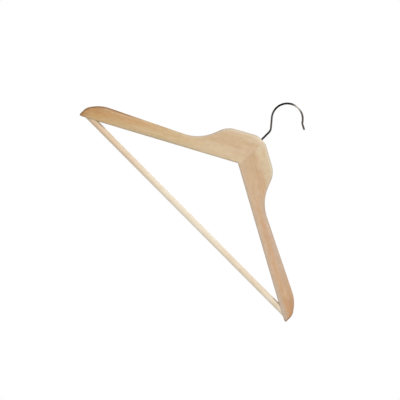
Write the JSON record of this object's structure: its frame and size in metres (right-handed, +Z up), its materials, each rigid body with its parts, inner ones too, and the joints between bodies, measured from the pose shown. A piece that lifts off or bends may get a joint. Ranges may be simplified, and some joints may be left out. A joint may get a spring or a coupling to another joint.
{
  "type": "clothes hanger",
  "caption": "Flat wooden clothes hanger with humped, sloping shoulders, a round trouser bar between the arms' ends and a bent steel wire hook that swivels.",
  "frame": {"origin": "highest point inside the hook's crook, where the hanger sits on its rod", "axes": "+X along the shoulders towards the side that the hook's mouth opens to, +Y from the front of the board to its back, +Z up"},
  "size_m": [0.442, 0.013, 0.2429],
  "materials": {
    "arm_wood": "satin clear lacquer over pale hardwood",
    "dowel_wood": "plain smooth, paler than the arms",
    "bright_steel": "bright plated wire",
    "brad_steel": "plain steel wire"
  },
  "bodies": {
    "hook": {"hook": "bright_steel"},
    "hanger": {"left_arm": "arm_wood", "right_arm": "arm_wood", "trouser_bar": "dowel_wood", "left_bar_brad": "brad_steel", "right_bar_brad": "brad_steel"}
  },
  "joints": [
    {"name": "hook_swivel", "type": "hinge", "parent": "hook", "child": "hanger", "pos_m": [-0.00521, 0, -0.07097], "axis": [0, 0, 1], "continuous": true}
  ]
}
